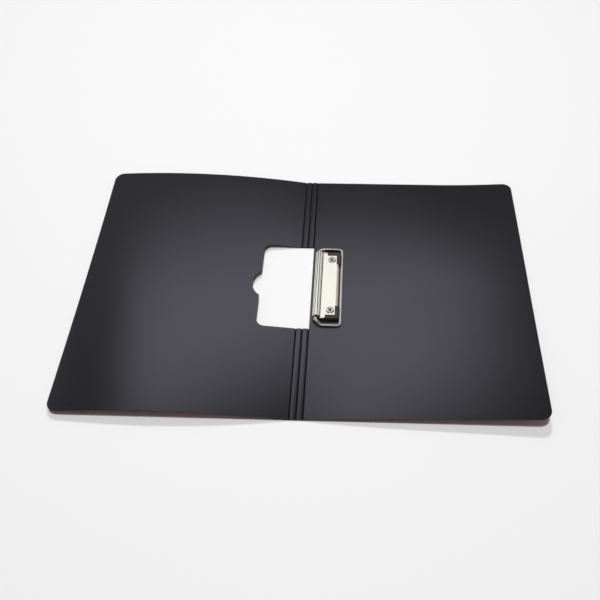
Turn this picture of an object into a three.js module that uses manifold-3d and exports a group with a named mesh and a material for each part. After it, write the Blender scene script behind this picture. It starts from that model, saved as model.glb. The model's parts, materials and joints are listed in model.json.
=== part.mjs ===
import * as THREE from 'three';
import { mergeVertices } from 'three/addons/utils/BufferGeometryUtils.js';
import Module from 'manifold-3d';

const wasm = await Module();
wasm.setup();

// An open clip folder, lying inner side up. X runs across the covers, Y along the spine, Z up.
// The origin is on the table under the middle of the spine. Sizes are millimetres and degrees.

// Folder sheet
const sheetThickness = 1.0;
const coverWidth = 222;
const coverHeight = 310;
const coverCornerRadius = 10;
const spinePanelWidth = 6.4;

// Free bow of the covers: how far each stands off the table along its far edge, middle and near edge
const frontBowFar = 9.0;
const frontBowMiddle = 7.0;
const frontBowNear = 6.0;
const backBowFar = 2.5;
const backBowMiddle = 4.5;
const backBowNear = 5.5;

// Where the bow lies, as shares of a cover's width and of half its height
const frontPeakShareFar = 0.68;
const frontPeakShareMiddle = 0.6;
const frontPeakShareNear = 0.58;
const backStartShareFar = 0.6;
const backStartShareMiddle = 0.17;
const backFlatShare = 0.37;
const backFlatEndShare = 0.5;
const backFlatFadeShare = 0.3;
const backMiddlePower = 1.4;
const backNearPower = 0.75;
const backSidePower = 1.25;

// Pressed creases: V grooves, wide at the inner face and all but closed at the outer face
const creaseRoot = 0.3;
const creaseMouth = 2.2;

// Window that the clip passes through when the folder closes
const windowLength = 107.2;
const windowReach = 39.7;
const windowCornerRadius = 8.5;
const notchRadius = 18.7;
const notchDepth = 8.3;

// Clearances: pieces that turn on each other, holes round rivets, ends beside ears
const runningGap = 0.3;
const rivetHoleGap = 0.1;
const earGap = 0.4;
const overcut = 0.5;

// Clip base, a flat plate on the back cover, set back from the crease
const baseThickness = 0.8;
const baseSetback = 4.0;
const baseWidth = 20.8;
const baseEndWidth = 11.6;
const baseCornerRadius = 1.2;
const earSetback = 10.6;
const earWidth = 4.5;
const earHeight = 4.5;
const lugSpacing = 56;
const lugNeckBehind = 2.2;
const lugNeckAhead = 1.2;
const lugRadius = 2.5;
const lugCutLength = 6.4;

// Jaw: rolled barrel, flat field and bent-down lip, from one strip
const jawThickness = 0.8;
const jawLength = 84;
const barrelSetback = 6.8;
const barrelRadius = 3.7;
const barrelFreeEdge = 8;
const barrelRollOff = 310;
const fieldDrop = 0.8;
const fieldFilletRadius = 1.6;
const fieldReach = 19.0;
const lipAngle = 55;
const lipBendRadius = 1.2;
const lipGap = 0.3;
const slotBehind = 3.4;
const slotAhead = 1.75;
const slotDepth = 1.3;

// Rubber corners on the jaw
const gripArmLength = 13.3;
const gripArmWidth = 4.0;
const gripLimbLength = 15.5;
const gripLimbWidth = 3.6;
const gripOverhang = 1.0;
const gripCornerRadius = 1.5;
const gripTopDrop = 0.3;
const gripFootGap = 0.3;
const tongueThickness = 1.5;
const tongueInset = 1.4;

// Hollow rivets
const rivetHoleRadius = 1.2;
const rivetShankRadius = 2.0;
const rivetCrown = 0.65;
const rivetRim = 0.3;
const rivetTail = 0.4;
const baseRivetHeadRadius = 3.6;
const baseRivetTailRadius = 3.0;
const baseRivetSpacing = 40;
const baseRivetForward = 18.6;
const gripRivetHeadRadius = 4.2;
const gripRivetTailRadius = 3.0;

// Wire bail, one bent wire whose ends meet inside the barrel
const wireRadius = 1.2;
const bailLength = 100;
const bailReach = 24.0;
const bailShoulder = 5.5;
const bailShoulderDrop = 4;
const bailShoulderSink = 2.9;
const bailBarSink = 3.3;
const bailEndGap = 4;
const bailCornerRadius = 4;
const bailShoulderRadius = 3;

// Torsion spring round the bail's ends
const springWireRadius = 0.35;
const springTurns = 12;
const springPitch = 1.2;
const springJawLeg = 1.5;

// Facets
const bowStepsAcross = 14;
const bowStepsAlong = 12;
const roundSides = 32;
const cornerSteps = 8;
const wireSides = 10;
const springSides = 6;
const springSteps = 12;
const arcStep = 12.5;
const wireArcStep = 15;

const sheetBlack = new THREE.MeshStandardMaterial({ color: 0x2c2c31, roughness: 0.55, metalness: 0 });
const nickel = new THREE.MeshStandardMaterial({ color: 0xd9d5c8, roughness: 0.22, metalness: 1 });
const springSteel = new THREE.MeshStandardMaterial({ color: 0x9c9c98, roughness: 0.35, metalness: 1 });
const darkRubber = new THREE.MeshStandardMaterial({ color: 0x3c3633, roughness: 0.75, metalness: 0 });

const radians = THREE.MathUtils.degToRad;

// Clip sizes that follow from the ones above. The clip's own datum is the back crease, on the cover's face
const barrelHeight = baseThickness + runningGap + barrelRadius;
const fieldTop = barrelHeight - fieldDrop + jawThickness / 2;
const fieldBottom = fieldTop - jawThickness;
const fieldEdge = barrelSetback + fieldReach;
const gripLimbStart = fieldEdge - jawThickness / 2;
const gripOuterEdge = gripLimbStart + gripLimbWidth;
const gripOuterEnd = jawLength / 2 + gripOverhang;
const gripArmStart = gripOuterEdge - gripArmLength;
const gripArmInner = gripOuterEnd - gripArmWidth;
const gripLimbInner = gripOuterEnd - gripLimbLength;
const gripTop = fieldTop - gripTopDrop;
const gripRivetX = (gripArmStart + gripLimbStart) / 2;
const gripRivetY = (gripLimbInner + gripArmInner) / 2;

// A height that clears the covers at their highest
const aboveCovers = sheetThickness + overcut
  + Math.max(frontBowFar, frontBowMiddle, frontBowNear, backBowFar, backBowMiddle, backBowNear);

// Closed geometry as a solid for joining and cutting
function solidOf(geometry) {
  const bare = geometry.clone();
  bare.deleteAttribute('normal');
  bare.deleteAttribute('uv');
  const merged = mergeVertices(bare);
  return new wasm.Manifold(new wasm.Mesh({
    numProp: 3,
    vertProperties: new Float32Array(merged.attributes.position.array),
    triVerts: new Uint32Array(merged.index.array),
  }));
}

function geometryOf(solid) {
  const mesh = solid.getMesh();
  const geometry = new THREE.BufferGeometry();
  geometry.setAttribute('position', new THREE.BufferAttribute(mesh.vertProperties, 3));
  geometry.setIndex(new THREE.BufferAttribute(mesh.triVerts, 1));
  geometry.computeVertexNormals();
  return geometry;
}

function named(name, solid, material) {
  const mesh = new THREE.Mesh(geometryOf(solid), material.clone());
  mesh.name = name;
  return mesh;
}

// A flat outline in the XY plane, raised from one height to another
function raised(shape, bottom, top) {
  const options = { depth: top - bottom, bevelEnabled: false, curveSegments: cornerSteps };
  return solidOf(new THREE.ExtrudeGeometry(shape, options).translate(0, 0, bottom));
}

// A section drawn as (x, z), run along Y from one end to the other
function alongY(shape, start, end) {
  const options = { depth: end - start, bevelEnabled: false, curveSegments: cornerSteps };
  return solidOf(new THREE.ExtrudeGeometry(shape, options).rotateX(Math.PI / 2).translate(0, end, 0));
}

function block(x0, x1, y0, y1, z0, z1) {
  const geometry = new THREE.BoxGeometry(x1 - x0, y1 - y0, z1 - z0);
  return solidOf(geometry.translate((x0 + x1) / 2, (y0 + y1) / 2, (z0 + z1) / 2));
}

function upright(radius, x, y, z0, z1) {
  const geometry = new THREE.CylinderGeometry(radius, radius, z1 - z0, roundSides);
  return solidOf(geometry.rotateX(Math.PI / 2).translate(x, y, (z0 + z1) / 2));
}

function crosswise(radius, x, z, y0, y1) {
  const geometry = new THREE.CylinderGeometry(radius, radius, y1 - y0, roundSides);
  return solidOf(geometry.translate(x, (y0 + y1) / 2, z));
}

// A rectangle whose corners at high x are rounded
function tabOutline(x0, x1, y0, y1, radius) {
  const shape = new THREE.Shape();
  shape.moveTo(x0, y0);
  shape.lineTo(x1 - radius, y0);
  shape.absarc(x1 - radius, y0 + radius, radius, -Math.PI / 2, 0);
  shape.lineTo(x1, y1 - radius);
  shape.absarc(x1 - radius, y1 - radius, radius, 0, Math.PI / 2);
  shape.lineTo(x0, y1);
  shape.closePath();
  return shape;
}

// The same outline turned to the other side of the spine
function mirroredOutline(shape) {
  return new THREE.Shape(shape.getPoints(cornerSteps).map((p) => new THREE.Vector2(-p.x, p.y)));
}

// The V that a crease presses into the sheet, for cutting both panels that meet there
function creaseGroove(x) {
  const flare = (creaseMouth - creaseRoot) / 2 / sheetThickness;
  const halfAt = (z) => creaseRoot / 2 + flare * z;
  const low = -creaseRoot / 4;
  const high = sheetThickness + overcut;
  const section = new THREE.Shape([
    new THREE.Vector2(x - halfAt(low), low),
    new THREE.Vector2(x + halfAt(low), low),
    new THREE.Vector2(x + halfAt(high), high),
    new THREE.Vector2(x - halfAt(high), high),
  ]);
  return alongY(section, -coverHeight, coverHeight);
}

// A place on a cover: its share of the width out from the crease, and of half the height from near to far
function coverShares(x, y) {
  const across = THREE.MathUtils.clamp((Math.abs(x) - spinePanelWidth) / coverWidth, 0, 1);
  return [across, y / (coverHeight / 2)];
}

// The front cover arches from its crease to its outer edge, highest along the far edge
function frontBow(x, y) {
  const [across, along] = coverShares(x, y);
  const arch = (rise, peak) => rise * (1 - ((across - peak) / peak) ** 2);
  const far = arch(frontBowFar, frontPeakShareFar);
  const middle = arch(frontBowMiddle, frontPeakShareMiddle);
  const near = arch(frontBowNear, frontPeakShareNear);
  return middle + (far - near) / 2 * along + ((far + near) / 2 - middle) * along ** 2;
}

// The back cover lies flat under the clip and rises towards its outer edge, most at the near corner
function backBow(x, y) {
  const [across, along] = coverShares(x, y);
  const from = (start) => THREE.MathUtils.clamp((across - start) / (1 - start), 0, 1);
  const side = along < 0 ? backBowNear * across ** backNearPower : backBowFar * from(backStartShareFar) ** 2;
  const middle = backBowMiddle * from(backStartShareMiddle) ** backMiddlePower;
  const flat = backFlatShare * THREE.MathUtils.clamp((backFlatEndShare - across) / backFlatFadeShare, 0, 1);
  const reach = THREE.MathUtils.clamp((Math.abs(along) - flat) / (1 - flat), 0, 1);
  return middle + (side - middle) * reach ** backSidePower;
}

// A sheet over one cover's place, with its bow, before it is cut to its outline
function bowedSheet(side, bow) {
  const width = coverWidth + 2 * overcut;
  const height = coverHeight + 2 * overcut;
  const geometry = new THREE.BoxGeometry(width, height, sheetThickness, bowStepsAcross, bowStepsAlong, 1);
  geometry.translate(side * (spinePanelWidth + coverWidth / 2), 0, sheetThickness / 2);
  const place = geometry.attributes.position;
  for (let i = 0; i < place.count; i += 1) {
    place.setZ(i, place.getZ(i) + bow(place.getX(i), place.getY(i)));
  }
  return solidOf(geometry);
}

// The front cover lies to the left, with the window at its crease and the thumb notch beyond
function frontCover() {
  const half = coverHeight / 2;
  const edge = spinePanelWidth + coverWidth;
  const panel = mirroredOutline(tabOutline(spinePanelWidth, edge, -half, half, coverCornerRadius));
  const reach = spinePanelWidth + windowReach;
  const side = windowLength / 2;
  const opening = mirroredOutline(tabOutline(0, reach, -side, side, windowCornerRadius));
  const notch = upright(notchRadius, notchRadius - reach - notchDepth, 0, -overcut, aboveCovers);
  const notchEdge = -reach - notchDepth - overcut;
  const notchBite = block(notchEdge, -reach + overcut, -side, side, -overcut, aboveCovers);
  return bowedSheet(-1, frontBow)
    .intersect(raised(panel, -overcut, aboveCovers))
    .subtract(creaseGroove(-spinePanelWidth))
    .subtract(raised(opening, -overcut, aboveCovers))
    .subtract(notch.intersect(notchBite));
}

// The back cover lies to the right and is drilled for the two rivets of the clip
function backCover() {
  const half = coverHeight / 2;
  const edge = spinePanelWidth + coverWidth;
  const panel = tabOutline(spinePanelWidth, edge, -half, half, coverCornerRadius);
  let cover = bowedSheet(1, backBow)
    .intersect(raised(panel, -overcut, aboveCovers))
    .subtract(creaseGroove(spinePanelWidth));
  const x = spinePanelWidth + baseRivetForward;
  for (const y of [-baseRivetSpacing / 2, baseRivetSpacing / 2]) {
    const shankHole = upright(rivetShankRadius + rivetHoleGap, x, y, -overcut, sheetThickness + overcut);
    const tailDepth = rivetTail + rivetHoleGap;
    const tailRecess = upright(baseRivetTailRadius + rivetHoleGap, x, y, -overcut, tailDepth);
    cover = cover.subtract(shankHole).subtract(tailRecess);
  }
  return cover;
}

// One length of a spine panel between two creases, from the window's end to the sheet's edge
function spinePanel(startX, endX, side) {
  const y0 = side * windowLength / 2;
  const y1 = side * coverHeight / 2;
  return block(startX, endX, Math.min(y0, y1), Math.max(y0, y1), 0, sheetThickness)
    .subtract(creaseGroove(startX))
    .subtract(creaseGroove(endX));
}

// Flat base plate with stepped ends, two ears bent up at its ends, and two lugs bent up into the barrel
function clipBase() {
  const bodyEnd = gripArmInner - runningGap * 2;
  const plateEnd = jawLength / 2 + earGap + baseThickness;
  const front = baseSetback + baseWidth;
  let base = raised(tabOutline(baseSetback, front, -bodyEnd, bodyEnd, baseCornerRadius), 0, baseThickness)
    .add(block(baseSetback, baseSetback + baseEndWidth, -plateEnd, plateEnd, 0, baseThickness));
  for (const side of [-1, 1]) {
    const earInner = side * (plateEnd - baseThickness);
    const earOuter = side * plateEnd;
    const [earLow, earHigh] = [Math.min(earInner, earOuter), Math.max(earInner, earOuter)];
    base = base.add(block(earSetback, earSetback + earWidth, earLow, earHigh, 0, earHeight));

    const lugY = side * lugSpacing / 2;
    const [lugLow, lugHigh] = [lugY - baseThickness / 2, lugY + baseThickness / 2];
    const neckStart = barrelSetback - lugNeckBehind;
    const neckEnd = barrelSetback + lugNeckAhead;
    const neck = block(neckStart, neckEnd, lugLow, lugHigh, 0, barrelHeight);
    const eyeRadius = wireRadius + runningGap;
    const eye = crosswise(eyeRadius, barrelSetback, barrelHeight, lugLow - overcut, lugHigh + overcut);
    const lug = neck.add(crosswise(lugRadius, barrelSetback, barrelHeight, lugLow, lugHigh)).subtract(eye);
    const cutStart = side > 0 ? lugLow - lugCutLength : lugHigh;
    const lugCut = block(neckStart, neckEnd,
      cutStart, cutStart + lugCutLength, -overcut, baseThickness + overcut);
    base = base.subtract(lugCut).add(lug);

    const rivetY = side * baseRivetSpacing / 2;
    const rivetHole = rivetShankRadius + rivetHoleGap;
    base = base.subtract(upright(rivetHole, baseRivetForward, rivetY, -overcut, baseThickness + overcut));
  }
  return base;
}

// Points on a circle in the section, about the barrel's axis or a bend's centre
function arcPoints(cx, cz, radius, from, to) {
  const steps = Math.max(2, Math.ceil(Math.abs(to - from) / arcStep));
  const points = [];
  for (let i = 0; i <= steps; i += 1) {
    const angle = radians(from + (to - from) * i / steps);
    points.push(new THREE.Vector2(cx + radius * Math.cos(angle), cz + radius * Math.sin(angle)));
  }
  return points;
}

// The middle line of the jaw's strip: round the barrel, up to the field, along it and down the lip
function jawLine() {
  const rollRadius = barrelRadius - jawThickness / 2;
  const fieldLevel = barrelHeight - fieldDrop;
  const barrel = arcPoints(barrelSetback, barrelHeight, rollRadius, barrelFreeEdge, barrelRollOff);
  const rise = barrelRollOff + 90 - 360;
  const leave = barrel[barrel.length - 1];
  const climb = fieldLevel - fieldFilletRadius * (1 - Math.cos(radians(rise))) - leave.y;
  const run = climb / Math.tan(radians(rise));
  const filletX = leave.x + run + fieldFilletRadius * Math.sin(radians(rise));
  const fillet = arcPoints(filletX, fieldLevel - fieldFilletRadius, fieldFilletRadius, 90 + rise, 90);
  const bend = arcPoints(fieldEdge, fieldLevel - lipBendRadius, lipBendRadius, 90, 90 - lipAngle);
  const bendEnd = bend[bend.length - 1];
  const tipHeight = lipGap + jawThickness / 2 * Math.cos(radians(lipAngle));
  const tipX = bendEnd.x + (bendEnd.y - tipHeight) / Math.tan(radians(lipAngle));
  return [...barrel, ...fillet, ...bend, new THREE.Vector2(tipX, tipHeight)];
}

// The outline of a bent strip, from its middle line and its thickness
function stripOutline(line, thickness) {
  const offsets = line.map((point, i) => {
    const before = line[Math.max(i - 1, 0)];
    const after = line[Math.min(i + 1, line.length - 1)];
    const along = [];
    if (i > 0) along.push(point.clone().sub(before).normalize());
    if (i < line.length - 1) along.push(after.clone().sub(point).normalize());
    const direction = along.reduce((sum, d) => sum.add(d), new THREE.Vector2()).normalize();
    const widening = 1 / direction.dot(along[0]);
    return new THREE.Vector2(-direction.y, direction.x).multiplyScalar(thickness / 2 * widening);
  });
  const oneSide = line.map((point, i) => point.clone().add(offsets[i]));
  const otherSide = line.map((point, i) => point.clone().sub(offsets[i])).reverse();
  return new THREE.Shape([...oneSide, ...otherSide]);
}

// The jaw, cut away at its page-side corners for the rubber and slotted under the barrel for lugs and spring
function clipJaw() {
  const end = jawLength / 2;
  let jaw = alongY(stripOutline(jawLine(), jawThickness), -end, end);
  const slotWidth = baseThickness + 2 * runningGap;
  const springSlotWidth = 2 * springWireRadius + 2 * runningGap;
  const springY = -springTurns * springPitch / 2;
  const slots = [
    [-lugSpacing / 2, slotWidth],
    [lugSpacing / 2, slotWidth],
    [springY, springSlotWidth],
  ];
  for (const [y, width] of slots) {
    jaw = jaw.subtract(block(barrelSetback - slotBehind, barrelSetback + slotAhead,
      y - width / 2, y + width / 2, 0, barrelHeight - slotDepth));
  }
  for (const side of [-1, 1]) {
    const farY = side * (end + overcut);
    const armY = side * gripArmInner;
    const limbY = side * gripLimbInner;
    const far = gripOuterEdge + overcut;
    const armCut = block(gripArmStart, far, Math.min(armY, farY), Math.max(armY, farY), 0, barrelHeight);
    const limbCut = block(gripLimbStart, far, Math.min(limbY, farY), Math.max(limbY, farY), 0, barrelHeight);
    const hole = upright(rivetShankRadius + rivetHoleGap, gripRivetX, side * gripRivetY, 0, barrelHeight);
    jaw = jaw.subtract(armCut).subtract(limbCut).subtract(hole);
  }
  return jaw;
}

// A rubber corner: an L that closes the jaw's cut-out, with a tongue under the field for its rivet
function rubberCorner(side) {
  const outline = new THREE.Shape();
  outline.moveTo(gripArmStart, gripArmInner);
  outline.lineTo(gripLimbStart, gripArmInner);
  outline.lineTo(gripLimbStart, gripLimbInner);
  outline.lineTo(gripOuterEdge, gripLimbInner);
  outline.lineTo(gripOuterEdge, gripOuterEnd - gripCornerRadius);
  const cornerX = gripOuterEdge - gripCornerRadius;
  const cornerY = gripOuterEnd - gripCornerRadius;
  outline.absarc(cornerX, cornerY, gripCornerRadius, 0, Math.PI / 2);
  outline.lineTo(gripArmStart, gripOuterEnd);
  outline.closePath();
  const corners = outline.getPoints(cornerSteps);
  const turned = new THREE.Shape(corners.map((p) => new THREE.Vector2(p.x, side * p.y)));
  const tongueInner = side * (gripLimbInner + tongueInset);
  const tongueOuter = side * gripArmInner;
  const tongue = block(gripArmStart + tongueInset, gripLimbStart, Math.min(tongueInner, tongueOuter),
    Math.max(tongueInner, tongueOuter), fieldBottom - tongueThickness, fieldBottom);
  const hole = upright(rivetShankRadius + rivetHoleGap, gripRivetX, side * gripRivetY, 0, barrelHeight);
  return raised(turned, gripFootGap, gripTop).add(tongue).subtract(hole);
}

// A hollow rivet: crowned head on one face, shank through the stack, rolled tail behind it
function hollowRivet(x, y, headRadius, tailRadius, seat, tailTop) {
  const profile = [
    [rivetHoleRadius, tailTop - rivetTail],
    [tailRadius - rivetTail / 2, tailTop - rivetTail],
    [tailRadius, tailTop - rivetTail / 2],
    [tailRadius, tailTop],
    [rivetShankRadius, tailTop],
    [rivetShankRadius, seat],
    [headRadius, seat],
    [headRadius, seat + rivetRim],
    [(headRadius + rivetShankRadius) / 2, seat + rivetCrown],
    [rivetShankRadius, seat + rivetCrown],
    [rivetHoleRadius, seat + rivetRim],
    [rivetHoleRadius, tailTop - rivetTail],
  ].map(([r, z]) => new THREE.Vector2(r, z));
  return solidOf(new THREE.LatheGeometry(profile, roundSides).rotateX(Math.PI / 2).translate(x, y, 0));
}

// A route that is stepped from point to point, so that bends get the steps and straights do not
class Route extends THREE.Curve {
  constructor(points) {
    super();
    this.points = points;
  }

  getPoint(t, target = new THREE.Vector3()) {
    const place = t * (this.points.length - 1);
    const first = Math.min(Math.floor(place), this.points.length - 2);
    return target.lerpVectors(this.points[first], this.points[first + 1], place - first);
  }

  getTangent(t, target = new THREE.Vector3()) {
    const last = this.points.length - 1;
    const here = Math.round(t * last);
    const before = this.points[Math.max(here - 1, 0)];
    const after = this.points[Math.min(here + 1, last)];
    const into = this.points[here].clone().sub(before).normalize();
    const out = after.clone().sub(this.points[here]).normalize();
    return target.copy(into).add(out).normalize();
  }

  getUtoTmapping(u) {
    return u;
  }
}

// A round wire along a route
function wire(points, radius, sides) {
  const section = new THREE.Shape();
  for (let i = 0; i < sides; i += 1) {
    const angle = 2 * Math.PI * i / sides;
    const corner = [radius * Math.cos(angle), radius * Math.sin(angle)];
    if (i === 0) section.moveTo(...corner);
    else section.lineTo(...corner);
  }
  section.closePath();
  const options = { steps: points.length - 1, extrudePath: new Route(points) };
  return solidOf(new THREE.ExtrudeGeometry(section, options));
}

// A flat route through corners, each rounded to its own radius
function roundedRoute(corners) {
  const points = [corners[0].place.clone()];
  for (let i = 1; i < corners.length - 1; i += 1) {
    const { place, radius } = corners[i];
    const back = corners[i - 1].place.clone().sub(place).normalize();
    const ahead = corners[i + 1].place.clone().sub(place).normalize();
    const opening = back.angleTo(ahead);
    const toCentre = radius / Math.sin(opening / 2);
    const centre = back.clone().add(ahead).normalize().multiplyScalar(toCentre).add(place);
    const start = back.clone().multiplyScalar(radius / Math.tan(opening / 2)).add(place).sub(centre);
    const finish = ahead.clone().multiplyScalar(radius / Math.tan(opening / 2)).add(place).sub(centre);
    const turn = start.angleTo(finish);
    const axis = start.clone().cross(finish).normalize();
    const steps = Math.max(2, Math.ceil(turn / radians(wireArcStep)));
    for (let k = 0; k <= steps; k += 1) {
      points.push(start.clone().applyAxisAngle(axis, turn * k / steps).add(centre));
    }
  }
  points.push(corners[corners.length - 1].place.clone());
  return points;
}

// The bail about its own axis: ends in the barrel, shoulders down to the cover, a loop round the jaw
function wireBail() {
  const half = bailLength / 2;
  const shoulder = half - bailShoulderDrop;
  const side = [
    [0, bailEndGap / 2, 0, 0],
    [0, shoulder, 0, bailShoulderRadius],
    [bailShoulder, half, -bailShoulderSink, bailShoulderRadius],
    [bailReach, half, -bailBarSink, bailCornerRadius],
  ];
  const corners = [
    ...side.map(([x, y, z, radius]) => ({ place: new THREE.Vector3(x, y, z), radius })),
    ...side.reverse().map(([x, y, z, radius]) => ({ place: new THREE.Vector3(x, -y, z), radius })),
  ];
  return wire(roundedRoute(corners), wireRadius, wireSides);
}

// The spring about the bail's axis: a close coil, with one leg down to the base and a short one beside it
function torsionSpring() {
  const coilRadius = wireRadius + runningGap + springWireRadius;
  const start = -springTurns * springPitch / 2;
  const baseLegEnd = baseThickness + runningGap + springWireRadius - barrelHeight;
  const points = [new THREE.Vector3(-coilRadius, start, baseLegEnd)];
  const steps = (springTurns - 0.5) * springSteps;
  for (let i = 0; i <= steps; i += 1) {
    const angle = Math.PI - 2 * Math.PI * i / springSteps;
    const y = start + springPitch * i / springSteps;
    points.push(new THREE.Vector3(coilRadius * Math.cos(angle), y, coilRadius * Math.sin(angle)));
  }
  const last = points[points.length - 1];
  points.push(new THREE.Vector3(last.x, last.y, -springJawLeg));
  return wire(points, springWireRadius, springSides);
}

const clip = new THREE.Group();
clip.position.set(spinePanelWidth, 0, sheetThickness);
clip.add(named('clip_base', clipBase(), nickel));
clip.add(named('clip_jaw', clipJaw(), nickel));
const sides = [['far', 1], ['near', -1]];
for (const [end, side] of sides) {
  const baseRivet = hollowRivet(baseRivetForward, side * baseRivetSpacing / 2,
    baseRivetHeadRadius, baseRivetTailRadius, baseThickness, rivetTail - sheetThickness);
  clip.add(named(`base_rivet_${end}`, baseRivet, nickel));
  clip.add(named(`grip_${end}`, rubberCorner(side), darkRubber));
  const gripRivet = hollowRivet(gripRivetX, side * gripRivetY,
    gripRivetHeadRadius, gripRivetTailRadius, fieldTop, fieldBottom - tongueThickness);
  clip.add(named(`grip_rivet_${end}`, gripRivet, nickel));
}

// Pieces on the barrel's axis are made about it and then put in place
const onAxis = new THREE.Group();
onAxis.position.set(barrelSetback, 0, barrelHeight);
onAxis.add(named('wire_bail', wireBail(), nickel));
onAxis.add(named('torsion_spring', torsionSpring(), springSteel));
clip.add(onAxis);

const folder = new THREE.Group();
folder.add(named('front_cover', frontCover(), sheetBlack));
folder.add(named('back_cover', backCover(), sheetBlack));
for (const [end, side] of sides) {
  folder.add(named(`spine_front_${end}`, spinePanel(-spinePanelWidth, 0, side), sheetBlack));
  folder.add(named(`spine_back_${end}`, spinePanel(0, spinePanelWidth, side), sheetBlack));
}
folder.add(clip);

export default folder;
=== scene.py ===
import json
from math import cos, degrees, pi, radians, sin, tan

import bmesh
import bpy
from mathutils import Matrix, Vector

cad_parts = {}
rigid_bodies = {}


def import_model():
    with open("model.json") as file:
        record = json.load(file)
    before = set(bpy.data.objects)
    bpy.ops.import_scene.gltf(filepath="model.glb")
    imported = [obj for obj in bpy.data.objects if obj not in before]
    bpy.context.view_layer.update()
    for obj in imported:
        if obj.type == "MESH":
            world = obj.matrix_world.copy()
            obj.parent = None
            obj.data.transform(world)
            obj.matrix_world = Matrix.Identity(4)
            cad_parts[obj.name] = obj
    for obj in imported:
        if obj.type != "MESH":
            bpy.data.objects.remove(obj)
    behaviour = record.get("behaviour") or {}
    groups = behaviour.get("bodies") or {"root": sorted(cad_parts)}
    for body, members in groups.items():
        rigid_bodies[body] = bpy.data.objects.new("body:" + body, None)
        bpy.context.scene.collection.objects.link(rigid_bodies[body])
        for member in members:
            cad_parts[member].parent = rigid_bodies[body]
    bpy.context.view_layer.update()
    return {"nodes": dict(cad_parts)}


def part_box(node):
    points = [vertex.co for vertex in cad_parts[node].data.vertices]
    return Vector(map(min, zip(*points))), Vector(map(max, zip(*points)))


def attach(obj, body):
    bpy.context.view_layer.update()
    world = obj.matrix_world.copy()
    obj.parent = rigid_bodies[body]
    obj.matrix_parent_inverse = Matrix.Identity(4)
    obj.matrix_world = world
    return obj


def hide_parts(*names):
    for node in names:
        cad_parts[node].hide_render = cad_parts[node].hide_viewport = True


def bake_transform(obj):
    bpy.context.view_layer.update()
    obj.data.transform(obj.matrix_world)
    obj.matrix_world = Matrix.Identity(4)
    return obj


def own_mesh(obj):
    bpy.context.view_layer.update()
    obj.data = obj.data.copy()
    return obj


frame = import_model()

mm = 0.001
hair = 0.001 * mm                         # points closer than this lie in the same place
shot = bpy.context.scene


def meets(a, b):
    return abs(a - b) < hair


# Camera and light

white = (1, 1, 1, 1)
warmWhite = (1, 0.99, 0.97, 1)

cameraSet = {
    "place": (0.0486, -0.4685, 0.5852),
    "turn": (0.66992, 0.0105, 0.03423),   # radians, x then y then z
    "lens": 43.44,
    "sensor": 36,
    "shift": (-0.0511, -0.0140),
    "clipStart": 0.01,
}

# places and sizes in metres, power in watts, and whether shiny faces mirror the lamp
lampSet = {
    "overhead": {"place": (0.05, -0.15, 3.00), "size": (0.16, 0.16), "power": 45.5, "mirrored": False},
    "ceiling": {"place": (0.00, -0.30, 1.50), "size": (0.60, 0.22), "power": 1.9, "mirrored": True},
    "behind": {"place": (0.00, 1.80, 2.40), "size": (0.20, 0.20), "power": 27.0, "mirrored": False},
    "softbox": {"place": (-0.15, 0.70, 1.03), "size": (0.96, 0.38), "power": 1.56, "mirrored": True},
}

worldSet = {
    "background": 1.0,                    # what the camera sees past the table
    "fill": 0.15,                         # what lights the matt faces
    "roof": 0.06,                         # what shiny faces see high up
    "walls": 0.95,                        # what they see low down
    "roofStart": 0.42,                    # above this height it is all roof
    "wallTop": 0.22,                      # and below this one all wall
    "wallRise": 0.5,                      # the walls stand higher at the sides
}


def addCamera():
    data = bpy.data.cameras.new("photoCamera")
    data.lens = cameraSet["lens"]
    data.sensor_width = cameraSet["sensor"]
    data.shift_x, data.shift_y = cameraSet["shift"]
    data.clip_start = cameraSet["clipStart"]
    cam = bpy.data.objects.new("photoCamera", data)
    cam.location = cameraSet["place"]
    cam.rotation_euler = cameraSet["turn"]
    shot.collection.objects.link(cam)
    shot.camera = cam


def addAreaLight(name, chosen):
    data = bpy.data.lights.new(name, "AREA")
    data.shape = "RECTANGLE"
    data.size, data.size_y = chosen["size"]
    data.energy = chosen["power"]
    lamp = bpy.data.objects.new(name, data)
    lamp.visible_glossy = chosen["mirrored"]
    lamp.location = chosen["place"]
    lamp.rotation_euler = (-lamp.location).to_track_quat("-Z", "Y").to_euler()
    shot.collection.objects.link(lamp)


def addMath(nodes, operation):
    node = nodes.new("ShaderNodeMath")
    node.operation = operation
    return node


def addBackground(nodes, color, strength=1.0):
    node = nodes.new("ShaderNodeBackground")
    node.inputs["Color"].default_value = color
    node.inputs["Strength"].default_value = strength
    return node


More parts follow.
